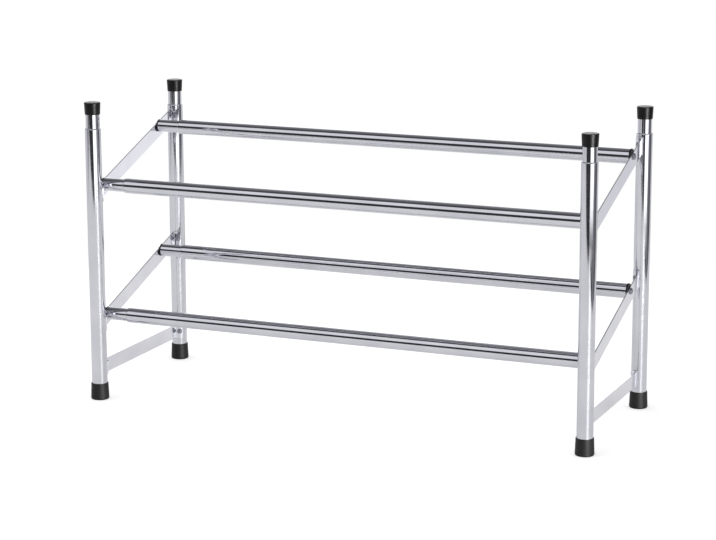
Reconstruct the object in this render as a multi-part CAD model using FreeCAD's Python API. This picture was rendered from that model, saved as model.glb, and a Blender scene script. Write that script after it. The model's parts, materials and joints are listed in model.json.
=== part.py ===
"""Two-tier pull-out shoe rack.

Two end frames, each of two round posts, two sloping shelf bars and a base brace, are joined by four
telescopic rails.  The outer tubes are screwed to the right frame and the inner tubes to the left frame,
so the left frame pulls out sideways.  Origin: floor level, under the middle of the rack at rest.
X runs along the rails, Y from front to back, Z up.  Millimetres.
"""
import FreeCAD, Part
import math
import os

V = FreeCAD.Vector

# ---- overall layout, rack at rest ----
post_spacing_x = 618.0     # post axis to post axis, left frame to right frame
post_spacing_y = 212.0     # front post axis to back post axis
rack_height = 365.0        # floor to the top of the caps

# ---- posts: chromed steel tube with a swaged neck that lets a second rack stack on top ----
post_od = 19.0
post_wall = 0.9
stack_fit = 0.3            # radial gap, neck to the bore of a post stacked on it
neck_bare = 16.8           # neck left visible between the shoulder and the cap
shoulder_rise = 1.2        # height of the swaged cone

# ---- push-on caps ----
cap_height = 14.8
cap_top_wall = 1.45
cap_mouth_wall = 0.75
cap_roof = 2.0
cap_edge_round = 0.7
cap_fit = 0.05             # radial gap, cap bore to neck
cap_headroom = 0.2         # gap above the end of the neck

# ---- rubber feet ----
foot_height = 20.3
foot_mouth_wall = 0.9
foot_flare = 0.8           # how much wider the foot's bottom is than its mouth, on the radius
foot_sole = 4.0
foot_edge_round = 1.8
foot_fit = 0.02            # radial gap, foot bore to post

# ---- flat strip, used for the shelf bars and the base braces ----
strip_width = 18.0
strip_thickness = 1.5
saddle_angle = 52.0        # how far the bent end wraps round the post, degrees
saddle_fit = 0.04          # gap, bent end to post
bend_radius = 2.0          # middle of the strip, between the web and the bent end
strip_corner = 3.0         # rounded corners of the bent end
brace_middle_z = 38.2      # floor to the middle of the base brace
bar_to_shoulder = 2.5      # top corner of the upper shelf bars to the shoulder of the back posts

# ---- rails ----
front_rail_inset = 21.0    # front rails behind the front post axes
back_rail_inset = 46.0     # back rails in front of the back post axes
lower_rail_z = 102.8       # floor to the axis of the lower front rail
shelf_rise = 50.1          # back rail above front rail
rail_above_bar = 5.0       # rail axis above the middle of the shelf bar
outer_od = 18.0
outer_wall = 0.7
inner_wall = 0.7
bare_inner = 28.0          # inner tube left visible at rest
lip_length = 3.0           # rolled-in mouth of the outer tube
lip_gap = 0.3              # radial gap, rolled mouth to inner tube

# ---- plastic plugs between the rails and the shelf bars ----
plug_flange = 2.2
plug_stem = 16.0
plug_fit = 0.04            # radial gap, stem to tube bore
plug_flange_round = 0.4

# ---- guide bush in each outer tube, stop plug on each inner tube ----
bush_length = 45.0
bush_wall = 0.45
bush_fit = 0.04            # radial gap, bush to outer tube
slide_fit = 0.06           # radial running gap, bush to inner tube
stop_head = 8.0
stop_stem = 14.0
stop_slide_fit = 0.1       # radial running gap, stop head to outer tube
stop_chamfer = 0.8
full_in_gap = 0.5          # outer tube's mouth to the left shelf bar, rack pushed right in
full_out_gap = 0.5         # stop head to bush, rack pulled right out
stem_clearance = 1.5       # stop head to the far plug's stem, rack pushed right in

# ---- fasteners ----
screw_d = 4.0
screw_length = 14.0        # under the head
screw_head_d = 7.6
screw_head_height = 2.3
screw_head_edge = 1.0      # height of the head's rim
screw_crown_d = 4.2        # flat on top of the head
screw_fit = 0.05           # radial gap, screw to plug bore
screw_hole_gap = 0.15      # radial gap, screw to the hole in the shelf bar
screw_tip = 1.2
recess_width = 1.0
recess_span = 3.8
recess_depth = 1.3
rivet_d = 4.0
rivet_head_d = 6.6
rivet_head_height = 1.6
rivet_tail_d = 5.8
rivet_tail_height = 1.4
rivet_fit = 0.04           # radial gap, rivet to its holes
rivet_seat_gap = 0.04      # gap, rivet heads to what they clamp
rivet_angle = 27.0         # rivet position round the post from the web, degrees

same_place = 0.001         # points nearer than this are one point

# ---- places worked out from the sizes above ----
post_r = post_od / 2
post_bore_r = post_r - post_wall
neck_r = post_bore_r - stack_fit
half_x = post_spacing_x / 2
half_y = post_spacing_y / 2
cap_bottom_z = rack_height - cap_height
shoulder_z = cap_bottom_z - neck_bare
neck_top_z = rack_height - cap_roof - cap_headroom

front_rail_y = front_rail_inset - half_y
back_rail_y = half_y - back_rail_inset
bar_slope = shelf_rise / (back_rail_y - front_rail_y)
bar_half_rise = strip_width / 2 * math.hypot(1, bar_slope)     # middle of a shelf bar to its edge, upright
upper_bar_top_z = shoulder_z - shoulder_rise - bar_to_shoulder
upper_rail_z = (upper_bar_top_z - bar_half_rise + rail_above_bar
                - (half_y - post_r - front_rail_y) * bar_slope)

outer_bore = outer_od - 2 * outer_wall
inner_od = outer_bore - 2 * (bush_fit + bush_wall + slide_fit)
inner_bore = inner_od - 2 * inner_wall
bar_face_x = half_x - strip_thickness / 2          # inner face of a shelf bar
tube_end_x = bar_face_x - plug_flange              # where each rail's tube starts
mouth_x = -tube_end_x + bare_inner                 # rolled mouth of the outer tubes
bush_start_x = mouth_x + lip_length
close_travel = bare_inner + plug_flange - full_in_gap
stop_end_x = tube_end_x - plug_stem - stem_clearance - close_travel
inner_end_x = stop_end_x - stop_head               # free end of the inner tubes
open_travel = inner_end_x - (bush_start_x + bush_length) - full_out_gap

SIDES = {"left": -1, "right": 1}
DEPTHS = {"front": -1, "back": 1}
TIERS = {"lower": lower_rail_z, "upper": upper_rail_z}        # height of the tier's front rail
RAIL_Y = {"front": front_rail_y, "back": back_rail_y}


def rail_z(tier, depth):
    """Height of a rail's axis."""
    return TIERS[tier] + (RAIL_Y[depth] - front_rail_y) * bar_slope


def bar_z(tier, y):
    """Height of the middle of a shelf bar at depth y."""
    return TIERS[tier] - rail_above_bar + (y - front_rail_y) * bar_slope


def turned(profile, base, axis):
    """Solid turned from (radius, height) points about an axis through base."""
    points = [V(radius, 0, height) for radius, height in profile]
    solid = Part.Face(Part.makePolygon(points + points[:1])).revolve(V(0, 0, 0), V(0, 0, 1), 360)
    solid.Placement = FreeCAD.Placement(base, FreeCAD.Rotation(V(0, 0, 1), axis))
    return solid


def ring_edges(solid, radius, centre):
    """Round edges of a given radius about a given centre."""
    rings = [edge for edge in solid.Edges if isinstance(edge.Curve, Part.Circle)]
    return [edge for edge in rings
            if abs(edge.Curve.Radius - radius) < same_place
            and (edge.Curve.Center - centre).Length < same_place]


def post_axis(side, depth, z):
    """Point on a post's axis."""
    return V(SIDES[side] * half_x, DEPTHS[depth] * half_y, z)


def post(side, depth):
    """Tube with a swaged neck, and a hole for each rivet that holds a strip to it."""
    solid = turned([(post_r, foot_sole), (post_r, shoulder_z - shoulder_rise), (neck_r, shoulder_z),
                    (neck_r, neck_top_z), (neck_r - post_wall, neck_top_z), (neck_r - post_wall, shoulder_z),
                    (post_bore_r, shoulder_z - shoulder_rise), (post_bore_r, foot_sole)],
                   post_axis(side, depth, 0), V(0, 0, 1))
    for middle_z in strip_heights(depth):
        solid = solid.cut(rivet_hole(side, depth, middle_z))
    return solid


def strip_heights(depth):
    """Rivet heights on a post: both shelf bars and the base brace."""
    y = DEPTHS[depth] * (half_y - post_r)
    return [bar_z(tier, y) for tier in TIERS] + [brace_middle_z]


def rivet_direction(side, depth):
    """Way a rivet head faces: out from the post, toward the middle of the rack."""
    turn = math.radians(rivet_angle)
    return V(-SIDES[side] * math.sin(turn), -DEPTHS[depth] * math.cos(turn), 0)


def rivet_hole(side, depth, middle_z):
    """Drill through one wall of a post and the bent end over it."""
    return Part.makeCylinder(rivet_d / 2 + rivet_fit, post_od, post_axis(side, depth, middle_z),
                             rivet_direction(side, depth))


def cap(side, depth):
    """Tapered cup that pushes onto the neck."""
    bore_r = neck_r + cap_fit
    top_r = bore_r + cap_top_wall
    roof_z = cap_height - cap_roof
    solid = turned([(0, roof_z), (bore_r, roof_z), (bore_r, 0), (bore_r + cap_mouth_wall, 0),
                    (top_r, cap_height), (0, cap_height)],
                   post_axis(side, depth, cap_bottom_z), V(0, 0, 1))
    rim = ring_edges(solid, top_r, post_axis(side, depth, rack_height))
    return solid.makeFillet(cap_edge_round, rim)


def foot(side, depth):
    """Rubber ferrule that grips the bottom of the post."""
    bore_r = post_r + foot_fit
    mouth_r = bore_r + foot_mouth_wall
    bottom_r = mouth_r + foot_flare
    solid = turned([(0, 0), (bottom_r, 0), (mouth_r, foot_height), (bore_r, foot_height),
                    (bore_r, foot_sole), (0, foot_sole)], post_axis(side, depth, 0), V(0, 0, 1))
    rim = ring_edges(solid, bottom_r, post_axis(side, depth, 0))
    return solid.makeFillet(foot_edge_round, rim)


def strip_plan(side):
    """Plan of a strip: a straight web, bent at both ends to wrap round the inward side of the posts."""
    wrap_r = post_r + saddle_fit + strip_thickness / 2
    bend_y = half_y - math.sqrt((wrap_r + bend_radius) ** 2 - bend_radius ** 2)
    bend_turn = math.asin(bend_radius / (wrap_r + bend_radius))
    wrap_turn = math.radians(saddle_angle)

    def place(depth, inward, reach, radius, turn):
        across = inward + radius * math.sin(turn)
        along = reach - radius * math.cos(turn)
        return V(SIDES[side] * (half_x - across), DEPTHS[depth] * along, 0)

    edges = []
    web_ends = {-1: [], 1: []}
    for depth in DEPTHS:
        tips = []
        for face, ends in web_ends.items():
            offset = face * strip_thickness / 2
            bend = [place(depth, bend_radius, bend_y, bend_radius - offset, turn)
                    for turn in (-math.pi / 2, (bend_turn - 1.5 * math.pi) / 2, bend_turn - math.pi)]
            wrap = [place(depth, 0, half_y, wrap_r + offset, turn)
                    for turn in (bend_turn, (bend_turn + wrap_turn) / 2, wrap_turn)]
            edges += [Part.Arc(*bend).toShape(), Part.Arc(*wrap).toShape()]
            ends.append(bend[0])
            tips.append(wrap[-1])
        edges.append(Part.makeLine(*tips))
    edges += [Part.makeLine(*ends) for ends in web_ends.values()]
    return Part.Face(Part.Wire(Part.__sortEdges__(edges)))


def strip(side, middle_z):
    """Strip between the posts of one frame, with a rivet hole in each bent end.

    middle_z gives the height of the strip's middle at depth y.
    """
    front_y, back_y = -half_y - post_od, half_y + post_od
    slope = (middle_z(back_y) - middle_z(front_y)) / (back_y - front_y)
    half_rise = strip_width / 2 * math.hypot(1, slope)
    outline = [V(SIDES[side] * half_x - post_od, y, middle_z(y) + edge * half_rise)
               for y, edge in ((front_y, -1), (back_y, -1), (back_y, 1), (front_y, 1))]
    band = Part.Face(Part.makePolygon(outline + outline[:1])).extrude(V(2 * post_od, 0, 0))
    plan = strip_plan(side)
    plan.translate(V(0, 0, band.BoundBox.ZMin))
    body = plan.extrude(V(0, 0, band.BoundBox.ZLength)).common(band)
    body = body.makeFillet(strip_corner, tip_edges(body))
    for depth in DEPTHS:
        body = body.cut(rivet_hole(side, depth, middle_z(DEPTHS[depth] * (half_y - post_r))))
    return body


def tip_edges(body):
    """Short edges through the thickness at the corners of each bent end."""
    tip_x = half_x - post_r * math.sin(math.radians(saddle_angle))
    short = [edge for edge in body.Edges if edge.Length < 2 * strip_thickness]
    return [edge for edge in short if abs(edge.CenterOfMass.x) < tip_x]


def shelf_bar(side, tier):
    """Sloping strip with two screw holes for the rails."""
    body = strip(side, lambda y: bar_z(tier, y))
    hole_r = screw_d / 2 + screw_hole_gap
    for depth in DEPTHS:
        start = V(SIDES[side] * half_x - strip_thickness, RAIL_Y[depth], rail_z(tier, depth))
        body = body.cut(Part.makeCylinder(hole_r, 2 * strip_thickness, start, V(1, 0, 0)))
    return body


def base_brace(side):
    """Level strip near the floor."""
    return strip(side, lambda y: brace_middle_z)


def outer_rail(tier, depth):
    """Tube of the right frame, its mouth rolled in to keep the bush."""
    lip_bore_r = inner_od / 2 + lip_gap
    length = tube_end_x - mouth_x
    return turned([(lip_bore_r + outer_wall, 0), (outer_od / 2, lip_length), (outer_od / 2, length),
                   (outer_bore / 2, length), (outer_bore / 2, lip_length), (lip_bore_r, 0)],
                  V(mouth_x, RAIL_Y[depth], rail_z(tier, depth)), V(1, 0, 0))


def inner_rail(tier, depth):
    """Tube of the left frame."""
    base = V(-tube_end_x, RAIL_Y[depth], rail_z(tier, depth))
    length = inner_end_x + tube_end_x
    tube = Part.makeCylinder(inner_od / 2, length, base, V(1, 0, 0))
    return tube.cut(Part.makeCylinder(inner_bore / 2, length, base, V(1, 0, 0)))


def guide_bush(tier, depth):
    """Thin plastic sleeve that the inner tube slides in."""
    base = V(bush_start_x, RAIL_Y[depth], rail_z(tier, depth))
    sleeve = Part.makeCylinder(outer_bore / 2 - bush_fit, bush_length, base, V(1, 0, 0))
    return sleeve.cut(Part.makeCylinder(inner_od / 2 + slide_fit, bush_length, base, V(1, 0, 0)))


def stop_plug(tier, depth):
    """Plastic plug on the inner tube's free end: guides it, and stops it at the bush."""
    head_r, stem_r = outer_bore / 2 - stop_slide_fit, inner_bore / 2 - plug_fit
    return turned([(0, -stop_stem), (stem_r - stop_chamfer, -stop_stem), (stem_r, stop_chamfer - stop_stem),
                   (stem_r, 0), (head_r, 0), (head_r, stop_head - stop_chamfer),
                   (head_r - stop_chamfer, stop_head), (0, stop_head)],
                  V(inner_end_x, RAIL_Y[depth], rail_z(tier, depth)), V(1, 0, 0))


def end_plug(side, tier, depth):
    """Black plug between a rail and its shelf bar, bored for the screw."""
    tube_r, bore_r = (inner_od / 2, inner_bore / 2) if side == "left" else (outer_od / 2, outer_bore / 2)
    stem_r = bore_r - plug_fit
    screw_r = screw_d / 2 + screw_fit
    screw_depth = screw_length - strip_thickness + screw_fit
    length = plug_flange + plug_stem
    return turned([(screw_r, 0), (tube_r - plug_flange_round, 0), (tube_r, plug_flange_round),
                   (tube_r, plug_flange), (stem_r, plug_flange), (stem_r, length - stop_chamfer),
                   (stem_r - stop_chamfer, length), (0, length), (0, screw_depth), (screw_r, screw_depth)],
                  V(SIDES[side] * bar_face_x, RAIL_Y[depth], rail_z(tier, depth)), V(-SIDES[side], 0, 0))


def rail_screw(side, tier, depth):
    """Pan-head screw through the shelf bar into the end plug."""
    head_r, shank_r = screw_head_d / 2, screw_d / 2
    seat = V(SIDES[side] * (half_x + strip_thickness / 2), RAIL_Y[depth], rail_z(tier, depth))
    solid = turned([(0, screw_head_height), (screw_crown_d / 2, screw_head_height),
                    (head_r, screw_head_edge), (head_r, 0), (shank_r, 0),
                    (shank_r, screw_tip - screw_length), (shank_r - screw_tip / 2, -screw_length),
                    (0, -screw_length)], seat, V(SIDES[side], 0, 0))
    crown = seat + V(SIDES[side] * screw_head_height, 0, 0)
    for across, along in ((recess_width, recess_span), (recess_span, recess_width)):
        corner = crown - V(recess_depth, across / 2, along / 2)
        solid = solid.cut(Part.makeBox(2 * recess_depth, across, along, corner))
    return solid


def rivet(side, depth, middle_z):
    """Domed rivet through a bent end and the post wall, its tail spread inside the tube."""
    x_axis = V(1, 0, 0)
    head_r, tail_r = rivet_head_d / 2, rivet_tail_d / 2
    clamp_r = post_r + saddle_fit + strip_thickness + rivet_seat_gap
    tube_r = post_r - post_wall - rivet_seat_gap
    dome_r = (head_r ** 2 + rivet_head_height ** 2) / (2 * rivet_head_height)
    tail_x = math.sqrt(tube_r ** 2 - tail_r ** 2)
    head = Part.makeSphere(dome_r, V(clamp_r + rivet_head_height - dome_r, 0, 0))
    head = head.common(Part.makeCylinder(head_r, clamp_r, V(tube_r, 0, 0), x_axis))
    head = head.cut(Part.makeCylinder(clamp_r, 2 * rivet_head_d, V(0, 0, -rivet_head_d)))
    shank_length = clamp_r + rivet_head_height / 2 - tail_x
    shank = Part.makeCylinder(rivet_d / 2, shank_length, V(tail_x, 0, 0), x_axis)
    tail = Part.makeCylinder(tail_r, rivet_tail_height, V(tail_x - rivet_tail_height, 0, 0), x_axis)
    body = head.fuse([shank, tail]).removeSplitter()
    outward = rivet_direction(side, depth)
    body.rotate(V(0, 0, 0), V(0, 0, 1), math.degrees(math.atan2(outward.y, outward.x)))
    body.translate(post_axis(side, depth, middle_z))
    return body


def build():
    """Every node by name.  Identical fasteners share a node."""
    nodes = {}
    for side in SIDES:
        nodes[side + "_base_brace"] = base_brace(side)
        rivets, screws = [], []
        for depth in DEPTHS:
            place = side + "_" + depth
            nodes[place + "_post"] = post(side, depth)
            nodes[place + "_cap"] = cap(side, depth)
            nodes[place + "_foot"] = foot(side, depth)
            rivets += [rivet(side, depth, z) for z in strip_heights(depth)]
        for tier in TIERS:
            nodes[side + "_" + tier + "_shelf_bar"] = shelf_bar(side, tier)
            for depth in DEPTHS:
                nodes["_".join((side, tier, depth, "end_plug"))] = end_plug(side, tier, depth)
                screws.append(rail_screw(side, tier, depth))
        nodes[side + "_frame_rivets"] = Part.makeCompound(rivets)
        nodes[side + "_rail_screws"] = Part.makeCompound(screws)
    for tier in TIERS:
        for depth in DEPTHS:
            place = tier + "_" + depth
            nodes[place + "_outer_rail"] = outer_rail(tier, depth)
            nodes[place + "_inner_rail"] = inner_rail(tier, depth)
            nodes[place + "_guide_bush"] = guide_bush(tier, depth)
            nodes[place + "_stop_plug"] = stop_plug(tier, depth)
    return nodes


os.makedirs("parts", exist_ok=True)
for name, shape in build().items():
    shape.exportStep("parts/" + name + ".step")
print("travel in %.2f mm, travel out %.2f mm" % (close_travel, open_travel))
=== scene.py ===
"""Looks of the two-tier pull-out shoe rack: chromed tube and strip, black caps, feet and plugs.

Metres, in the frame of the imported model: +X along the rails, +Y from front to back, +Z up.
"""
import bpy
import json
import math
from mathutils import Matrix, Vector

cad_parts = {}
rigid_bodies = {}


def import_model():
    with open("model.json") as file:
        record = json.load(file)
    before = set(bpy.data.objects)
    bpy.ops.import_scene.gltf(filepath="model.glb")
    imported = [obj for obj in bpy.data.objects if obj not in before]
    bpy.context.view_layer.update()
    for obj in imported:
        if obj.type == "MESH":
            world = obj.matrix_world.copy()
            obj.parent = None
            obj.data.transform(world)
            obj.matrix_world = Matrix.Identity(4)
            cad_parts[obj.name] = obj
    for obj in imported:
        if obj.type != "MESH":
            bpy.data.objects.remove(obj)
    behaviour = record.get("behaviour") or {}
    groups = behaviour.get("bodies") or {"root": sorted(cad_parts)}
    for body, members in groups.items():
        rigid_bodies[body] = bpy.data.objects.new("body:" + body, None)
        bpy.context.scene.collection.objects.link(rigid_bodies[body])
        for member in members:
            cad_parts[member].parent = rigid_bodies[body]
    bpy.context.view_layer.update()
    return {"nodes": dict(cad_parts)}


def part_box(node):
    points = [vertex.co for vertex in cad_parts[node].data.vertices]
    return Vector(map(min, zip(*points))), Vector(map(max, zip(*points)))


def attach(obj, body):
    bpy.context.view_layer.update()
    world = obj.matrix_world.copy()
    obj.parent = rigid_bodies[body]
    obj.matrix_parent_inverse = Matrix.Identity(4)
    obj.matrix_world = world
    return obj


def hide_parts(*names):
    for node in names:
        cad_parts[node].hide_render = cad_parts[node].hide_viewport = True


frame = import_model()

SIDES = {"left": -1, "right": 1}
DEPTHS = {"front": -1, "back": 1}
TIERS = ("lower", "upper")
X_AXIS = Vector((1, 0, 0))
Z_AXIS = Vector((0, 0, 1))
MM = 0.001

# ---- sizes of the pieces; those that aren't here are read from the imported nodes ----
POST_WALL = 0.9 * MM
NECK_RADIUS = 8.3 * MM
NECK_BARE = 16.8 * MM            # neck seen between the shoulder and the cap
NECK_START = 0.1 * MM            # from the shoulder's rounding to the full neck
SHOULDER_RISE = 1.2 * MM
CAP_MOUTH_RADIUS = 9.1 * MM
CAP_BORE_RADIUS = 8.35 * MM
CAP_ROOF = 2.0 * MM
CAP_RIM = 1.3 * MM               # rounding between the cap's side and its top
CAP_DOME = 0.25 * MM
FOOT_MOUTH_RADIUS = 10.42 * MM
FOOT_BORE_RADIUS = 9.52 * MM
FOOT_SOLE = 4.0 * MM
FOOT_EDGE = 1.8 * MM
TREAD_RINGS = (7.6 * MM, 5.2 * MM, 2.8 * MM)
TREAD_HALF = 0.5 * MM
TREAD_DEPTH = 0.6 * MM
STRIP_WIDTH = 18.0 * MM
STRIP_THICKNESS = 1.5 * MM
STRIP_CORNER = 3.0 * MM
SADDLE_FIT = 0.04 * MM
SADDLE_TURN = math.radians(52)
SADDLE_STEPS = 6
BEND_RADIUS = 2.0 * MM
BEND_STEPS = 10
BAR_SLOPE = 50.1 / 145.0         # rise over run between a shelf's back and front rails
TUBE_WALL = 0.7 * MM
LIP_LENGTH = 3.0 * MM
LIP_EASE = 1.0 * MM              # from the rolled lip to the plain tube
LIP_BORE_RADIUS = 8.05 * MM
PLUG_FLANGE = 2.2 * MM
PLUG_RIM = PLUG_FLANGE / 4       # rounding of the flange's outer edge
PLUG_FIT = 0.04 * MM
PLUG_CHAMFER = 0.8 * MM
SCREW_RADIUS = 2.0 * MM
SCREW_BORE = 2.05 * MM
SCREW_HEAD_RADIUS = 3.8 * MM
SCREW_HEAD_HEIGHT = 2.3 * MM
SCREW_HEAD_EDGE = 0.8 * MM
SCREW_CROWN_RADIUS = 1.9 * MM
SCREW_LENGTH = 14.0 * MM
SCREW_TIP = 1.2 * MM
RECESS_WIDTH = 1.0 * MM
RECESS_SPAN = 3.8 * MM
RECESS_DEPTH = 1.3 * MM
RECESS_TAPER = 0.6               # the recess's width at its bottom, as a share of that at the crown
RIVET_TURN = math.radians(27)    # from the strip round the post
RIVET_RADIUS = 2.0 * MM
RIVET_HEAD_RADIUS = 3.3 * MM
RIVET_HEAD_HEIGHT = 1.6 * MM
RIVET_TAIL_RADIUS = 2.9 * MM
RIVET_TAIL_HEIGHT = 1.4 * MM
CUT_EDGE = 0.15 * MM             # soft edge that plating leaves on cut tube
ROLLED_EDGE = 0.4 * MM           # rounded long edges of rolled strip
MOULD_EDGE = 0.25 * MM
FASTENER_EDGE = 0.08 * MM
HARD_EDGE = math.radians(28)     # an edge that turns by more than this is rounded
WELD = 0.002 * MM
ROUND_STEPS = 96


# ---------------------------------------------------------------- materials

def linear(hex_colour):
    """sRGB hex to the linear colour that shaders take."""
    channels = [int(hex_colour[start:start + 2], 16) / 255 for start in (1, 3, 5)]
    return tuple(c / 12.92 if c <= 0.04045 else ((c + 0.055) / 1.055) ** 2.4 for c in channels) + (1,)


def add(tree, kind, settings=(), links=(), stops=()):
    """One node with its settings, by attribute or socket, its links by socket, and a ramp's colour stops."""
    node = tree.nodes.new(kind)
    for name, value in dict(settings).items():
        if isinstance(name, str) and hasattr(node, name):
            setattr(node, name, value)
        else:
            node.inputs[name].default_value = value
    for name, source in dict(links).items():
        tree.links.new(source, node.inputs[name])
    if stops:
        ramp = node.color_ramp.elements
        ramp.remove(ramp[1])
        ramp[0].position = stops[0][0]
        ramp[0].color = linear(stops[0][1])
        for position, colour in stops[1:]:
            ramp.new(position).color = linear(colour)
    return node


def new_material(name, metallic):
    """Node material with its Principled shader, and the object coordinates that its patterns use."""
    material = bpy.data.materials.new(name)
    material.use_nodes = True
    tree = material.node_tree
    tree.nodes.clear()
    shader = add(tree, "ShaderNodeBsdfPrincipled", {"Metallic": metallic})
    add(tree, "ShaderNodeOutputMaterial", links={"Surface": shader.outputs["BSDF"]})
    place = add(tree, "ShaderNodeTexCoord").outputs["Object"]
    return material, tree, shader, place


def finish_material(tree, shader, colour, rough, height, relief):
    """Link colour, roughness and a relief of real height, in metres, to the shader."""
    bump = add(tree, "ShaderNodeBump", {"Strength": 1.0, "Distance": relief}, {"Height": height})
    tree.links.new(colour, shader.inputs["Base Color"])
    tree.links.new(rough, shader.inputs["Roughness"])
    tree.links.new(bump.outputs["Normal"], shader.inputs["Normal"])


def chrome_plate(name, tint, gloss, lines, relief):
    """Bright nickel-chrome plate on drawn or rolled steel.

    The eye gets a near mirror with a cold tint, faint lines along the steel that plating doesn't hide, and a
    slow drift in gloss and colour where the plate is thicker or has been handled.  lines gives how many lines
    fit in a metre along each axis.
    """
    material, tree, shader, place = new_material(name, 1.0)
    along = add(tree, "ShaderNodeMapping", {"Scale": lines}, {"Vector": place}).outputs["Vector"]
    drawn = add(tree, "ShaderNodeTexNoise", {"Scale": 1.0, "Detail": 3.0}, {"Vector": along}).outputs["Fac"]
    # plate thickness and handling marks drift over about 35 mm
    drift = add(tree, "ShaderNodeTexNoise", {"Scale": 1 / (35 * MM), "Detail": 2.0}, {"Vector": place})
    wear = add(tree, "ShaderNodeMath", {"operation": "MULTIPLY"}, {0: drawn, 1: drift.outputs["Fac"]})
    rough = add(tree, "ShaderNodeMapRange", {"From Min": 0.12, "From Max": 0.42, "To Min": gloss[0],
                                             "To Max": gloss[1]}, {"Value": wear.outputs["Value"]})
    colour = add(tree, "ShaderNodeValToRGB", links={"Fac": drift.outputs["Fac"]},
                 stops=((0.3, tint[0]), (0.7, tint[1])))
    finish_material(tree, shader, colour.outputs["Color"], rough.outputs["Result"], drawn, relief)
    return material


def moulded(name, shades, gloss, grain, relief, cloud, shine=0.25):
    """Injection-moulded plastic or rubber.

    The eye gets an even body colour, a fine mould grain that breaks up the highlight, and slightly paler
    clouds where bloom or handling dulls it.  grain and cloud are the real sizes of those patterns in metres;
    shine is the specular level, low where a matt skin or bloom covers the plastic.
    """
    material, tree, shader, place = new_material(name, 0.0)
    shader.inputs["Specular IOR Level"].default_value = shine
    pores = add(tree, "ShaderNodeTexNoise", {"Scale": 1 / grain, "Detail": 4.0, "Roughness": 0.6},
                {"Vector": place}).outputs["Fac"]
    bloom = add(tree, "ShaderNodeTexNoise", {"Scale": 1 / cloud, "Detail": 2.0}, {"Vector": place})
    colour = add(tree, "ShaderNodeValToRGB", links={"Fac": bloom.outputs["Fac"]},
                 stops=((0.3, shades[0]), (0.72, shades[1])))
    rough = add(tree, "ShaderNodeMapRange", {"From Min": 0.3, "From Max": 0.7, "To Min": gloss[0],
                                             "To Max": gloss[1]}, {"Value": pores})
    finish_material(tree, shader, colour.outputs["Color"], rough.outputs["Result"], pores, relief)
    return material


def zinc_plate(name):
    """Bright zinc on cold-headed steel: softer and bluer than chrome, with a fine crystalline mottle."""
    material, tree, shader, place = new_material(name, 1.0)
    # zinc's own grain is finer; 0.7 mm is the finest that shows
    crystals = add(tree, "ShaderNodeTexVoronoi", {"Scale": 1 / (0.7 * MM)}, {"Vector": place})
    grain = crystals.outputs["Distance"]
    colour = add(tree, "ShaderNodeValToRGB", links={"Fac": grain},
                 stops=((0.1, "#7F848B"), (0.8, "#A6AAB0")))
    rough = add(tree, "ShaderNodeMapRange", {"To Min": 0.3, "To Max": 0.42}, {"Value": grain})
    finish_material(tree, shader, colour.outputs["Color"], rough.outputs["Result"], grain, 0.004 * MM)
    return material


CHROME_TINT = ("#D7D8DE", "#E0E0E6")
STRIP_TINT = ("#EAEAF0", "#F2F2F7")     # the smooth rolled strip takes a paler, cleaner plate
# drawing lines lie 1.2 mm apart round a tube and run on for 70 mm along it
post_chrome = chrome_plate("Chromed drawn tube, upright", CHROME_TINT, (0.05, 0.11), (830, 830, 14),
                           0.0004 * MM)
rail_chrome = chrome_plate("Chromed drawn tube, level", CHROME_TINT, (0.05, 0.11), (14, 830, 830),
                           0.0005 * MM)
# rolling lines lie 1.5 mm apart across a strip
strip_chrome = chrome_plate("Chromed rolled strip", STRIP_TINT, (0.06, 0.12), (660, 14, 660), 0.001 * MM)
cap_pvc = moulded("Moulded black PVC", ("#09090A", "#111113"), (0.24, 0.38), 0.6 * MM, 0.01 * MM, 9 * MM)
foot_rubber = moulded("Moulded black rubber", ("#0C0C0D", "#161618"), (0.42, 0.56), 0.8 * MM, 0.02 * MM,
                      8 * MM, 0.36)
plug_plastic = moulded("Moulded black polypropylene", ("#0A0A0B", "#131314"), (0.3, 0.45), 0.5 * MM,
                       0.01 * MM, 6 * MM)
bush_plastic = moulded("Moulded natural polyethylene", ("#D9D7CC", "#E9E7DF"), (0.38, 0.5), 0.6 * MM,
                       0.01 * MM, 7 * MM)
zinc = zinc_plate("Bright zinc plated steel")


# ---------------------------------------------------------------- ways of working

def deselect():
    """Leave nothing selected."""
    bpy.ops.object.select_all(action="DESELECT")


def only(piece):
    """Make piece the one selected, active object."""
    deselect()
    piece.select_set(True)
    bpy.context.view_layer.objects.active = piece


def place_at(node):
    """Middle and half size of a node's box."""
    low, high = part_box(node)
    return (low + high) / 2, (high - low) / 2


def close_mesh():
    """Weld the open edit mesh, fill its open rings and turn its faces outwards."""
    bpy.ops.mesh.select_all(action="SELECT")
    bpy.ops.mesh.remove_doubles(threshold=WELD)
    bpy.ops.mesh.select_all(action="SELECT")
    bpy.ops.mesh.fill_holes(sides=0)
    bpy.ops.mesh.select_all(action="SELECT")
    bpy.ops.mesh.normals_make_consistent(inside=False)
    bpy.ops.object.mode_set(mode="OBJECT")


def soften(piece, width, segments=2):
    """Round every hard edge, and let the large faces set the shading."""
    only(piece)
    bpy.ops.object.shade_smooth()
    edges = piece.modifiers.new("Soft edges", "BEVEL")
    edges.width = width
    edges.segments = segments
    edges.limit_method = "ANGLE"
    edges.angle_limit = HARD_EDGE
    bpy.ops.object.modifier_apply(modifier=edges.name)
    shading = piece.modifiers.new("Even shading", "WEIGHTED_NORMAL")
    bpy.ops.object.modifier_apply(modifier=shading.name)


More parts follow.
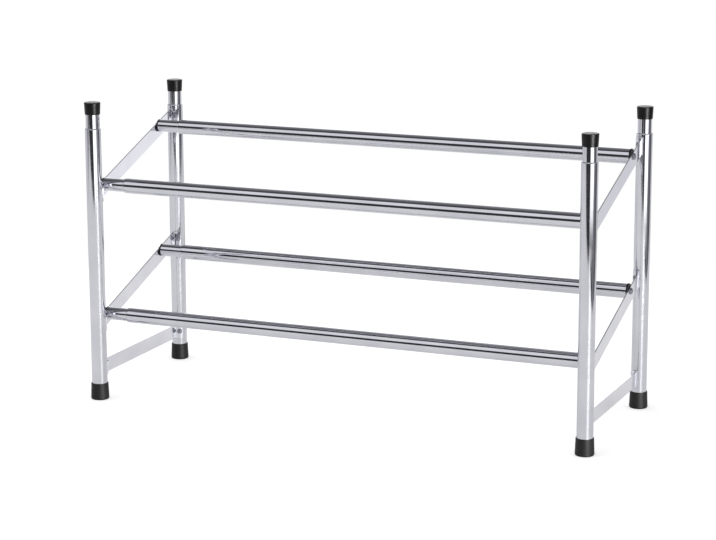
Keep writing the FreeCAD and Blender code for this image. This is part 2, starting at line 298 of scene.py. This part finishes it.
def turned(name, stations, base, axis, edge=CUT_EDGE):
    """Round piece, drawn out ring by ring from a circle.

    stations are (radius, distance from base along axis).  Where the last is the first again, the rings close
    on themselves, as a tube's do; otherwise both ends are filled flat.
    """
    deselect()
    radius, reached = stations[0]
    bpy.ops.mesh.primitive_circle_add(vertices=ROUND_STEPS, radius=radius, location=base + axis * reached,
                                      rotation=Z_AXIS.rotation_difference(axis).to_euler())
    piece = bpy.context.object
    piece.name = name
    bpy.ops.object.transform_apply()
    bpy.ops.object.mode_set(mode="EDIT")
    bpy.ops.mesh.select_mode(type="EDGE")
    bpy.ops.mesh.select_all(action="SELECT")
    for next_radius, distance in stations[1:]:
        bpy.ops.mesh.extrude_region_move(TRANSFORM_OT_translate={"value": axis * (distance - reached)})
        bpy.ops.transform.resize(value=(next_radius / radius,) * 3, center_override=base + axis * distance)
        radius, reached = next_radius, distance
    close_mesh()
    soften(piece, edge)
    return piece


def arc(radius, distance, size, start, end, steps=6):
    """Stations of a rounded corner about (radius, distance), from one angle to another, in degrees."""
    angles = [math.radians(start + (end - start) * step / steps) for step in range(steps + 1)]
    return [(radius + size * math.cos(angle), distance + size * math.sin(angle)) for angle in angles]


def copied(piece, name, move):
    """Copy of a piece with its own mesh, moved."""
    only(piece)
    bpy.ops.object.duplicate()
    twin = bpy.context.object
    twin.name = name
    bpy.ops.transform.translate(value=move)
    bpy.ops.object.transform_apply()
    return twin


def mirrored(piece, name):
    """Copy of a piece for the other frame, mirrored left to right."""
    twin = copied(piece, name, (0, 0, 0))
    bpy.ops.transform.mirror(constraint_axis=(True, False, False), center_override=(0, 0, 0))
    bpy.ops.object.transform_apply()
    bpy.ops.object.mode_set(mode="EDIT")
    close_mesh()
    return twin


def joined(pieces, name):
    """One object of several pieces."""
    only(pieces[0])
    for piece in pieces:
        piece.select_set(True)
    bpy.ops.object.join()
    pieces[0].name = name
    return pieces[0]


def dress(piece, node, body, material):
    """Give a piece its material and its body, and hide the node that it stands for."""
    piece.data.materials.clear()
    piece.data.materials.append(material)
    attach(piece, body)
    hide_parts(node)


# ---------------------------------------------------------------- posts, caps and feet

def make_post():
    """Post of the right frame's back: drawn tube, its top swaged to a neck over a rounded shoulder."""
    middle, half = place_at("right_back_post")
    radius = half.x
    bottom, top = middle.z - half.z, middle.z + half.z
    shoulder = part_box("right_back_cap")[0].z - NECK_BARE
    swage = shoulder - SHOULDER_RISE
    outside = [(radius, bottom)] + arc(radius - SHOULDER_RISE, swage, SHOULDER_RISE, 0, 80) + [
        (NECK_RADIUS, shoulder + NECK_START), (NECK_RADIUS, top)]
    inside = [(NECK_RADIUS - POST_WALL, top), (NECK_RADIUS - POST_WALL, shoulder),
              (radius - POST_WALL, swage), (radius - POST_WALL, bottom)]
    base = Vector((middle.x, middle.y, 0))
    return turned("right_back_post_tube", outside + inside + outside[:1], base, Z_AXIS)


def make_cap():
    """Cap of the right frame's back post: tapered cup with a rounded rim and a slightly domed top."""
    middle, half = place_at("right_back_cap")
    height, top_radius = 2 * half.z, half.x
    crown = top_radius - CAP_RIM
    rim = arc(crown, height - CAP_DOME - CAP_RIM, CAP_RIM, 4, 84)
    dome = [(crown * share, height - CAP_DOME * share ** 2) for share in (0.85, 0.6, 0.35, 0.1)]
    cup = [(CAP_BORE_RADIUS, height - CAP_ROOF), (CAP_BORE_RADIUS, 0), (CAP_MOUTH_RADIUS, 0)]
    base = Vector((middle.x, middle.y, middle.z - half.z))
    return turned("right_back_cap_cup", cup + rim + dome, base, Z_AXIS, MOULD_EDGE)


def make_foot():
    """Foot of the right frame's back post: flared ferrule with a rounded bottom edge and a ringed tread."""
    middle, half = place_at("right_back_foot")
    height, bottom_radius = 2 * half.z, half.x
    edge = arc(bottom_radius - FOOT_EDGE, FOOT_EDGE, FOOT_EDGE, 2, -90)
    stations = [(FOOT_BORE_RADIUS, FOOT_SOLE), (FOOT_BORE_RADIUS, height), (FOOT_MOUTH_RADIUS, height)]
    stations += edge
    for ring in TREAD_RINGS:
        stations += [(ring + TREAD_HALF, 0), (ring + TREAD_HALF / 2, TREAD_DEPTH),
                     (ring - TREAD_HALF / 2, TREAD_DEPTH), (ring - TREAD_HALF, 0)]
    base = Vector((middle.x, middle.y, middle.z - half.z))
    return turned("right_back_foot_ferrule", stations, base, Z_AXIS, MOULD_EDGE)


def make_posts():
    """All four posts with their caps and feet."""
    first = {"post_tube": make_post(), "cap_cup": make_cap(), "foot_ferrule": make_foot()}
    origin = place_at("right_back_post")[0]
    for side in SIDES:
        for depth in DEPTHS:
            corner = f"{side}_{depth}"
            move = place_at(f"{corner}_post")[0] - origin
            moved = {kind: piece if corner == "right_back" else copied(piece, f"{corner}_{kind}", move)
                     for kind, piece in first.items()}
            dress(moved["post_tube"], f"{corner}_post", f"{side}_frame", post_chrome)
            dress(moved["cap_cup"], f"{corner}_cap", f"{corner}_cap", cap_pvc)
            dress(moved["foot_ferrule"], f"{corner}_foot", f"{side}_frame", foot_rubber)


# ---------------------------------------------------------------- strips

def pick_end(piece, end):
    """Select the end face of a strip's web at the front or back, in edit mode."""
    bpy.ops.object.mode_set(mode="EDIT")
    bpy.ops.mesh.select_mode(type="FACE")
    bpy.ops.mesh.select_all(action="DESELECT")
    bpy.ops.object.mode_set(mode="OBJECT")
    face = max(piece.data.polygons, key=lambda face: face.normal.y * end)
    face.select = True
    bpy.ops.object.mode_set(mode="EDIT")


def turn_end(centre, turn, middle, slope, shrink=1.0):
    """Draw the selected end face on round an upright axis, keeping to the strip's slope.

    turn is counter-clockwise from above, middle is the face's middle, and shrink narrows the strip.  Returns
    the new middle.
    """
    # spin counts clockwise as positive
    bpy.ops.mesh.spin(steps=1, angle=-turn, center=centre, axis=Z_AXIS)
    moved = centre + Matrix.Rotation(turn, 3, "Z") @ (middle - centre)
    climb = (moved.y - middle.y) * slope
    bpy.ops.transform.translate(value=(0, 0, climb))
    moved.z = middle.z + climb
    bpy.ops.transform.resize(value=(1, 1, shrink), center_override=moved)
    return moved


def make_strip(name, middle_z, slope):
    """Strip of the right frame: rolled flat steel, both ends bent round the inward side of the posts."""
    post, post_half = place_at("right_back_post")
    wrap_radius = post_half.x + SADDLE_FIT + STRIP_THICKNESS / 2
    bend_y = post.y - math.sqrt((wrap_radius + BEND_RADIUS) ** 2 - BEND_RADIUS ** 2)
    bend_turn = math.asin(BEND_RADIUS / (wrap_radius + BEND_RADIUS))
    corner_turn = STRIP_CORNER / wrap_radius
    upright = STRIP_WIDTH * math.hypot(1, slope)
    deselect()
    bpy.ops.mesh.primitive_cube_add(size=1, location=(post.x, 0, middle_z))
    piece = bpy.context.object
    piece.name = name
    piece.scale = (STRIP_THICKNESS, 2 * bend_y, upright)
    bpy.ops.object.transform_apply()
    for end in DEPTHS.values():
        pick_end(piece, end)
        bpy.ops.transform.translate(value=(0, 0, end * bend_y * slope))
        middle = Vector((post.x, end * bend_y, middle_z + end * bend_y * slope))
        centre = Vector((post.x - BEND_RADIUS, end * bend_y, 0))
        turn = end * (math.pi / 2 - bend_turn) / BEND_STEPS
        for step in range(BEND_STEPS):
            middle = turn_end(centre, turn, middle, slope)
        centre = Vector((post.x, end * post.y, 0))
        turn = -end * (SADDLE_TURN - corner_turn - bend_turn) / SADDLE_STEPS
        for step in range(SADDLE_STEPS):
            middle = turn_end(centre, turn, middle, slope)
        # rounded corners of the tip: the strip narrows along a quarter circle
        reached, half_width = 0, upright / 2
        for quarter in (15, 30, 45, 60, 75, 90):
            reach = math.sin(math.radians(quarter))
            narrowed = upright / 2 - STRIP_CORNER * (1 - math.cos(math.radians(quarter)))
            turn = -end * (reach - reached) * corner_turn
            middle = turn_end(centre, turn, middle, slope, narrowed / half_width)
            reached, half_width = reach, narrowed
        bpy.ops.object.mode_set(mode="OBJECT")
    bpy.ops.object.mode_set(mode="EDIT")
    close_mesh()
    return piece


def strip_heights():
    """Middle heights of the lower bar and the brace, and the climb from the lower bar to the upper."""
    bar_z = place_at("right_lower_shelf_bar")[0].z
    return bar_z, place_at("right_base_brace")[0].z, place_at("right_upper_shelf_bar")[0].z - bar_z


def make_strips():
    """Two shelf bars and a base brace for each frame."""
    bar_z, brace_z, climb = strip_heights()
    bar = make_strip("right_lower_shelf_bar_strip", bar_z, BAR_SLOPE)
    strips = {"lower_shelf_bar": bar,
              "upper_shelf_bar": copied(bar, "right_upper_shelf_bar_strip", (0, 0, climb)),
              "base_brace": make_strip("right_base_brace_strip", brace_z, 0.0)}
    for kind, piece in strips.items():
        sides = {"right": piece, "left": mirrored(piece, f"left_{kind}_strip")}
        for side, strip in sides.items():
            soften(strip, ROLLED_EDGE, 3)
            dress(strip, f"{side}_{kind}", f"{side}_frame", strip_chrome)


# ---------------------------------------------------------------- rails and their plugs

def make_outer_rail():
    """Outer tube of the lower front rail, its mouth rolled in to a rounded lip."""
    middle, half = place_at("lower_front_outer_rail")
    radius, length = half.y, 2 * half.x
    bore = radius - TUBE_WALL
    half_wall = TUBE_WALL / 2
    lip_radius = LIP_BORE_RADIUS + TUBE_WALL
    mouth = arc(LIP_BORE_RADIUS + half_wall, half_wall, half_wall, 180, 360)
    roll = [(lip_radius + (radius - lip_radius) * share,
             half_wall + (LIP_LENGTH - half_wall) * (1 - math.cos(share * math.pi / 2)))
            for share in (0.4, 0.7, 1.0)]
    outside = mouth + roll + [(radius, LIP_LENGTH + LIP_EASE), (radius, length)]
    inside = [(bore, length), (bore, LIP_LENGTH)]
    base = Vector((middle.x - half.x, middle.y, middle.z))
    return turned("lower_front_outer_rail_tube", outside + inside + outside[:1], base, X_AXIS)


def make_inner_rail():
    """Inner tube of the lower front rail."""
    middle, half = place_at("lower_front_inner_rail")
    radius, length = half.y, 2 * half.x
    bore = radius - TUBE_WALL
    stations = [(radius, 0), (radius, length), (bore, length), (bore, 0), (radius, 0)]
    base = Vector((middle.x - half.x, middle.y, middle.z))
    return turned("lower_front_inner_rail_tube", stations, base, X_AXIS)


def make_end_plug(side):
    """Plug of the lower front rail: rounded flange, chamfered stem, and a blind hole for the screw."""
    node = f"{side}_lower_front_end_plug"
    middle, half = place_at(node)
    radius, length = half.y, 2 * half.x
    stem = radius - TUBE_WALL - PLUG_FIT
    rim = arc(radius - PLUG_RIM, PLUG_RIM, PLUG_RIM, -90, 0, 4)
    stations = [(SCREW_BORE, SCREW_LENGTH - STRIP_THICKNESS), (SCREW_BORE, 0)] + rim + [
        (radius, PLUG_FLANGE), (stem, PLUG_FLANGE), (stem, length - PLUG_CHAMFER),
        (stem - PLUG_CHAMFER, length)]
    base = Vector((middle.x + SIDES[side] * half.x, middle.y, middle.z))
    return turned(f"{node}_moulding", stations, base, -SIDES[side] * X_AXIS)


def make_rails():
    """Four telescopic rails with a plug at each end."""
    origin = place_at("lower_front_inner_rail")[0]
    outer, inner = make_outer_rail(), make_inner_rail()
    plugs = {side: make_end_plug(side) for side in SIDES}
    for tier in TIERS:
        for depth in DEPTHS:
            rail = f"{tier}_{depth}"
            move = place_at(f"{rail}_inner_rail")[0] - origin
            first = rail == "lower_front"
            tube = outer if first else copied(outer, f"{rail}_outer_rail_tube", move)
            dress(tube, f"{rail}_outer_rail", "right_frame", rail_chrome)
            tube = inner if first else copied(inner, f"{rail}_inner_rail_tube", move)
            dress(tube, f"{rail}_inner_rail", "left_frame", rail_chrome)
            for side, plug in plugs.items():
                node = f"{side}_{rail}_end_plug"
                moulding = plug if first else copied(plug, f"{node}_moulding", move)
                dress(moulding, node, f"{side}_frame", plug_plastic)


# ---------------------------------------------------------------- screws

def cut_recess(piece, crown, outward):
    """Cut a tapered cross recess into a screw's head."""
    for across, along in ((RECESS_WIDTH, RECESS_SPAN), (RECESS_SPAN, RECESS_WIDTH)):
        deselect()
        bpy.ops.mesh.primitive_cube_add(size=1, location=crown)
        cutter = bpy.context.object
        cutter.scale = (2 * RECESS_DEPTH, across, along)
        bpy.ops.object.transform_apply()
        bottom = min(cutter.data.polygons, key=lambda face: face.center.dot(outward))
        for face in cutter.data.polygons:
            face.select = face == bottom
        bpy.ops.object.mode_set(mode="EDIT")
        bpy.ops.transform.resize(value=(1, RECESS_TAPER, RECESS_TAPER),
                                 center_override=crown - outward * RECESS_DEPTH)
        bpy.ops.object.mode_set(mode="OBJECT")
        cut = piece.modifiers.new("Recess", "BOOLEAN")
        cut.operation = "DIFFERENCE"
        cut.object = cutter
        only(piece)
        bpy.ops.object.modifier_apply(modifier=cut.name)
        bpy.data.objects.remove(cutter)


def make_screw(side, seat):
    """Pan-head screw with a cross recess, its head against the outer face of a shelf bar."""
    outward = SIDES[side] * X_AXIS
    rise = SCREW_HEAD_HEIGHT - SCREW_HEAD_EDGE
    angles = [math.radians(angle) for angle in (0, 15, 30, 45, 60, 75, 90)]
    pan = [(SCREW_CROWN_RADIUS + (SCREW_HEAD_RADIUS - SCREW_CROWN_RADIUS) * math.cos(angle),
            SCREW_HEAD_EDGE + rise * math.sin(angle)) for angle in angles]
    stations = [(SCREW_RADIUS - SCREW_TIP / 2, -SCREW_LENGTH), (SCREW_RADIUS, SCREW_TIP - SCREW_LENGTH),
                (SCREW_RADIUS, 0), (SCREW_HEAD_RADIUS, 0)] + pan
    piece = turned(f"{side}_rail_screw", stations, seat, outward, FASTENER_EDGE)
    cut_recess(piece, seat + outward * SCREW_HEAD_HEIGHT, outward)
    return piece


def make_screws():
    """Four screws for each frame."""
    for side, way in SIDES.items():
        node = f"{side}_rail_screws"
        origin = place_at("lower_front_inner_rail")[0]
        bar_face = place_at(f"{side}_back_post")[0].x + way * STRIP_THICKNESS / 2
        first = make_screw(side, Vector((bar_face, origin.y, origin.z)))
        screws = [first]
        for rail in ("lower_back", "upper_front", "upper_back"):
            move = place_at(f"{rail}_inner_rail")[0] - origin
            screws.append(copied(first, f"{side}_{rail}_screw", move))
        dress(joined(screws, f"{node}_pan_head"), node, f"{side}_frame", zinc)


# ---------------------------------------------------------------- rivets

def make_rivet(side, depth, height):
    """Domed rivet through a bent strip end and the post's wall, its tail spread inside the tube."""
    post, post_half = place_at(f"{side}_{depth}_post")
    outward = Vector((-SIDES[side] * math.sin(RIVET_TURN), -DEPTHS[depth] * math.cos(RIVET_TURN), 0))
    seat = post_half.x + 2 * SADDLE_FIT + STRIP_THICKNESS
    # the head's rim follows the saddle down at its sides
    rim = math.sqrt(seat ** 2 - RIVET_HEAD_RADIUS ** 2)
    tail = math.sqrt((post_half.x - POST_WALL) ** 2 - RIVET_TAIL_RADIUS ** 2)
    dome = (RIVET_HEAD_RADIUS ** 2 + RIVET_HEAD_HEIGHT ** 2) / (2 * RIVET_HEAD_HEIGHT)
    start = math.degrees(math.acos(RIVET_HEAD_RADIUS / dome))
    stations = [(RIVET_TAIL_RADIUS, tail - RIVET_TAIL_HEIGHT), (RIVET_TAIL_RADIUS, tail),
                (RIVET_RADIUS, tail), (RIVET_RADIUS, rim), (RIVET_HEAD_RADIUS, rim)]
    stations += arc(0, seat + RIVET_HEAD_HEIGHT - dome, dome, start, 86)
    base = Vector((post.x, post.y, height))
    return turned(f"{side}_{depth}_rivet", stations, base, outward, FASTENER_EDGE)


def make_rivets():
    """Six rivets for each frame: both shelf bars and the base brace, at both posts."""
    post, post_half = place_at("right_back_post")
    bar_z, brace_z, climb = strip_heights()
    for side in SIDES:
        rivets = []
        for depth, end in DEPTHS.items():
            height = bar_z + end * (post.y - post_half.x) * BAR_SLOPE
            first = make_rivet(side, depth, height)
            rivets.append(first)
            for place, lift in (("upper", climb), ("base", brace_z - height)):
                rivets.append(copied(first, f"{side}_{depth}_{place}_rivet", (0, 0, lift)))
        dress(joined(rivets, f"{side}_frame_rivets_domed"), f"{side}_frame_rivets", f"{side}_frame",
              zinc)


# ---------------------------------------------------------------- hidden pieces keep their nodes

def dress_nodes():
    """Materials for the nodes whose own shape shows."""
    for name, node in frame["nodes"].items():
        if name.endswith(("guide_bush", "stop_plug")):
            for material_slot in node.material_slots:
                material_slot.material = bush_plastic


make_posts()
make_strips()
make_rails()
make_screws()
make_rivets()
dress_nodes()


# ---------------------------------------------------------------- floor, light and camera

CAMERA_PLACE = Vector((1.064, -2.525, 0.773))
CAMERA_AZIMUTH = math.radians(23.07)
CAMERA_ELEVATION = math.radians(12.52)
CAMERA_ROLL = math.radians(-0.187)
LENS = 117.9                     # in millimetres, as cameras take it
SENSOR_WIDTH = 36

FLOOR_LOW = (-1.6, -2.0)         # front left corner of the board before its front and back are cut
FLOOR_HIGH = (1.02, 2.5)         # back right corner, well past the back cut
FLOOR_FRONT = 1.25               # from the rack to the board's front edge, which lies square to the camera
FLOOR_BACK = 0.75                # to its back edge, square too, so the chrome shows the studio past it
FLOOR_DEPTH = 0.01
WHITE_LIFT = 0.42                # makes the floor a clear white to the camera
MIRROR_LIFT = 0.06               # the same in the chrome, where the board is a pale grey
BOARD_SHEEN = 0.045              # share of the board's light that is mirrored, not scattered
ROOM_LIGHT = 0.75                # plain light from all round on what isn't a mirror
STUDIO_LIGHT = 2.1               # the softboxes; grey walls are shares of it

# the studio that the chrome shows: greys by angle in degrees, measured level from the camera's side, 0, by
# the right, 90, to the back, 180
LEFT_WALLS = ((-180, "#E4E4E6"), (-172, "#E4E4E6"), (-164, "#38383A"), (-156, "#38383A"), (-146, "#A4A4A7"),
              (-97, "#96969A"), (-82, "#7A7A7E"), (-70, "#464648"), (-57, "#242426"))
DARK_FRONT = ((50, "#29292B"),)
RIGHT_WALLS = ((62, "#606063"), (82, "#464649"), (101, "#3E3E40"), (116, "#828286"), (123, "#AEAEB1"),
               (132, "#AEAEB1"), (137, "#9A9A9D"), (146, "#9A9A9D"), (154, "#2C2C2E"), (163, "#2C2C2E"),
               (172, "#E4E4E6"), (180, "#E4E4E6"))
# the same measured upright from the rack's front, 0, over the top, 90, to its back, 180
CEILING = ((20, "#29292B"), (25, "#ACACAF"), (64, "#ACACAF"), (69, "#232325"), (105, "#4A4A4C"),
           (150, "#7A7A7D"))
TALL_SOFTBOX = (12, 47)          # its two sides, level with the rack
HIGH_SOFTBOX = (32, 60)          # its two sides above eye level
SOFTBOX_FALL = 10                # degrees over which its sides fade
# rises, 1 being straight up, between which one layer of the studio gives way to the next
LAYER_BLENDS = ((-0.205, -0.185), (-0.05, 0.05), (0.36, 0.40))

OVERHEAD_PLACE = Vector((-0.3, -0.5, 2.2))
OVERHEAD_SIZE = (2.2, 1.6)
OVERHEAD_POWER = 14
FRONT_PLACE = Vector((1.575, -1.06, 0.48))
FRONT_SIZE = (0.75, 1.2)
FRONT_POWER = 66


def toward_camera():
    """Level direction from the rack to the camera."""
    return Vector((math.sin(CAMERA_AZIMUTH), -math.cos(CAMERA_AZIMUTH), 0))


def seen_directly(tree, rays):
    """1 for what the camera sees by itself or through something clear, otherwise 0."""
    return add(tree, "ShaderNodeMath", {"operation": "ADD"},
               {0: rays.outputs["Is Camera Ray"], 1: rays.outputs["Is Transmission Ray"]}).outputs[0]


def board_material():
    """Semi-gloss white board: the chrome shows its sheen, and the camera sees it white but for shadows."""
    material = bpy.data.materials.new("Semi-gloss white board")
    material.use_nodes = True
    tree = material.node_tree
    tree.nodes.clear()
    white = linear("#E4E4E5")
    rays = add(tree, "ShaderNodeLightPath")
    matt = add(tree, "ShaderNodeBsdfDiffuse", {"Color": white})
    varnish = add(tree, "ShaderNodeBsdfGlossy", {"Color": white, "Roughness": 0.42})
    sheen = add(tree, "ShaderNodeMath", {"operation": "MULTIPLY", 1: BOARD_SHEEN},
                {0: rays.outputs["Is Glossy Ray"]})
    board = add(tree, "ShaderNodeMixShader", links={0: sheen.outputs[0], 1: matt.outputs[0],
                                                    2: varnish.outputs[0]})
    clear = add(tree, "ShaderNodeMath", {"operation": "MULTIPLY", 1: WHITE_LIFT},
                {0: seen_directly(tree, rays)})
    lift = add(tree, "ShaderNodeMath", {"operation": "MULTIPLY_ADD", 1: MIRROR_LIFT},
               {0: rays.outputs["Is Glossy Ray"], 2: clear.outputs[0]})
    glow = add(tree, "ShaderNodeEmission", {"Color": linear("#FFFFFF")}, {"Strength": lift.outputs[0]})
    both = add(tree, "ShaderNodeAddShader", links={0: board.outputs[0], 1: glow.outputs[0]})
    add(tree, "ShaderNodeOutputMaterial", links={"Surface": both.outputs[0]})
    return material


def make_floor():
    """Board that the rack stands on."""
    deselect()
    middle = [(low + high) / 2 for low, high in zip(FLOOR_LOW, FLOOR_HIGH)]
    spans = [high - low for low, high in zip(FLOOR_LOW, FLOOR_HIGH)]
    bpy.ops.mesh.primitive_cube_add(size=1, location=(*middle, -FLOOR_DEPTH / 2))
    board = bpy.context.object
    board.name = "floor"
    board.scale = (*spans, FLOOR_DEPTH)
    bpy.ops.object.transform_apply()
    bpy.ops.object.mode_set(mode="EDIT")
    for way, reach in ((toward_camera(), FLOOR_FRONT), (-toward_camera(), FLOOR_BACK)):
        bpy.ops.mesh.select_all(action="SELECT")
        bpy.ops.mesh.bisect(plane_co=way * reach, plane_no=way, use_fill=True, clear_outer=True)
    bpy.ops.object.mode_set(mode="OBJECT")
    board.data.materials.append(board_material())
    return board


def turn_stops(greys):
    """Ramp stops for greys by angle, the ramp running a full turn from -180 to 180 degrees."""
    return [((angle + 180) / 360, grey) for angle, grey in greys]


def softbox_at(start, end):
    """Greys of a softbox from one angle to another, with its fading edges."""
    return ((start - SOFTBOX_FALL, "#262628"), (start, "#FFFFFF"), (end, "#FFFFFF"),
            (end + SOFTBOX_FALL, "#606063"))


def compass_ring(tree, share, front):
    """Walls of the studio by compass, round what stands at their front."""
    right = tuple(stop for stop in RIGHT_WALLS if stop[0] > front[-1][0])
    return add(tree, "ShaderNodeValToRGB", links={"Fac": share},
               stops=turn_stops(LEFT_WALLS + front + right)).outputs["Color"]


def make_world():
    """White backdrop to the camera, plain room light on the object, and a studio in the chrome.

    The studio's walls stand square to the camera: dark front, a tall softbox at the front right, grey walls
    to the sides and a white backdrop between two dark flags.  Over the front hangs a long softbox, along the
    rack's rails, with a dark ceiling behind it.
    """
    world = bpy.data.worlds.new("Studio")
    bpy.context.scene.world = world
    world.use_nodes = True
    tree = world.node_tree
    tree.nodes.clear()
    way = add(tree, "ShaderNodeTexCoord").outputs["Generated"]
    square = add(tree, "ShaderNodeVectorRotate", {"rotation_type": "Z_AXIS", "Angle": -CAMERA_AZIMUTH},
                 {"Vector": way})
    level = add(tree, "ShaderNodeSeparateXYZ", links={0: square.outputs["Vector"]})
    upright = add(tree, "ShaderNodeSeparateXYZ", links={0: way})
    shares = []
    for parts, across in ((level, "X"), (upright, "Z")):
        front = add(tree, "ShaderNodeMath", {"operation": "MULTIPLY", 1: -1.0}, {0: parts.outputs["Y"]})
        angle = add(tree, "ShaderNodeMath", {"operation": "ARCTAN2"},
                    {0: parts.outputs[across], 1: front.outputs[0]})
        shares.append(add(tree, "ShaderNodeMapRange", {"From Min": -math.pi, "From Max": math.pi},
                          {"Value": angle.outputs[0]}).outputs["Result"])
    around, over = shares
    ceiling = add(tree, "ShaderNodeValToRGB", links={"Fac": over}, stops=turn_stops(CEILING))
    # layers from the floor up: under the tall softbox, beside it, above eye level, overhead
    seen = compass_ring(tree, around, DARK_FRONT)
    layers = (compass_ring(tree, around, softbox_at(*TALL_SOFTBOX)),
              compass_ring(tree, around, softbox_at(*HIGH_SOFTBOX)), ceiling.outputs["Color"])
    for layer, (start, end) in zip(layers, LAYER_BLENDS):
        rise = add(tree, "ShaderNodeMapRange", {"From Min": start, "From Max": end},
                   {"Value": upright.outputs["Z"]})
        blend = add(tree, "ShaderNodeMix", {"data_type": "RGBA"},
                    {0: rise.outputs["Result"], 6: seen, 7: layer})
        seen = blend.outputs[2]
    studio = add(tree, "ShaderNodeBackground", {"Strength": STUDIO_LIGHT}, {"Color": seen})
    room = add(tree, "ShaderNodeBackground", {"Color": linear("#FFFFFF"), "Strength": ROOM_LIGHT})
    white = add(tree, "ShaderNodeBackground", {"Color": linear("#FFFFFF"), "Strength": 1.0})
    rays = add(tree, "ShaderNodeLightPath")
    mirrored_light = add(tree, "ShaderNodeMixShader", links={0: rays.outputs["Is Glossy Ray"],
                                                             1: room.outputs[0], 2: studio.outputs[0]})
    backdrop = add(tree, "ShaderNodeMixShader", links={0: seen_directly(tree, rays),
                                                       1: mirrored_light.outputs[0], 2: white.outputs[0]})
    add(tree, "ShaderNodeOutputWorld", links={"Surface": backdrop.outputs[0]})


def make_lamp(name, place, size, energy):
    """Rectangular softbox that faces the rack."""
    lamp = bpy.data.lights.new(name, "AREA")
    lamp.shape = "RECTANGLE"
    lamp.size, lamp.size_y = size
    lamp.energy = energy
    holder = bpy.data.objects.new(name, lamp)
    holder.location = place
    holder.rotation_euler = (-place).to_track_quat("-Z", "Y").to_euler()
    holder.visible_camera = False
    bpy.context.scene.collection.objects.link(holder)
    return holder


def matt_pieces(board):
    """Collection of the black pieces and the board, which leaves out all plated metal."""
    matt = bpy.data.collections.new("matt_pieces")
    matt.objects.link(board)
    for piece in bpy.context.scene.objects:
        if piece.type == "MESH" and piece.active_material in (cap_pvc, foot_rubber, plug_plastic):
            matt.objects.link(piece)
    return matt


def make_camera():
    """Long lens, to the right of the rack's front and a little above it."""
    back = toward_camera() * math.cos(CAMERA_ELEVATION) + Z_AXIS * math.sin(CAMERA_ELEVATION)
    right = Vector((math.cos(CAMERA_AZIMUTH), math.sin(CAMERA_AZIMUTH), 0))
    upright = Matrix((right, back.cross(right), back)).transposed()
    lens = bpy.data.cameras.new("studio_camera")
    lens.lens = LENS
    lens.sensor_width = SENSOR_WIDTH
    camera = bpy.data.objects.new("studio_camera", lens)
    aim = upright @ Matrix.Rotation(CAMERA_ROLL, 3, "Z")
    camera.matrix_world = Matrix.Translation(CAMERA_PLACE) @ aim.to_4x4()
    bpy.context.scene.collection.objects.link(camera)
    bpy.context.scene.camera = camera


white_board = make_floor()
make_world()
# the overhead lamp stays out of the chrome, where the studio's long softbox stands for it
make_lamp("overhead_softbox", OVERHEAD_PLACE, OVERHEAD_SIZE, OVERHEAD_POWER).visible_glossy = False
# the front one only puts its shine on black pieces and the board, so the light on the rack stays plain; the
# chrome shows the studio's tall softbox in its place, as a mirror of the lamp itself would glare
front_softbox = make_lamp("front_softbox", FRONT_PLACE, FRONT_SIZE, FRONT_POWER)
front_softbox.visible_diffuse = False
front_softbox.light_linking.receiver_collection = matt_pieces(white_board)
make_camera()
bpy.context.scene.view_settings.view_transform = "Standard"
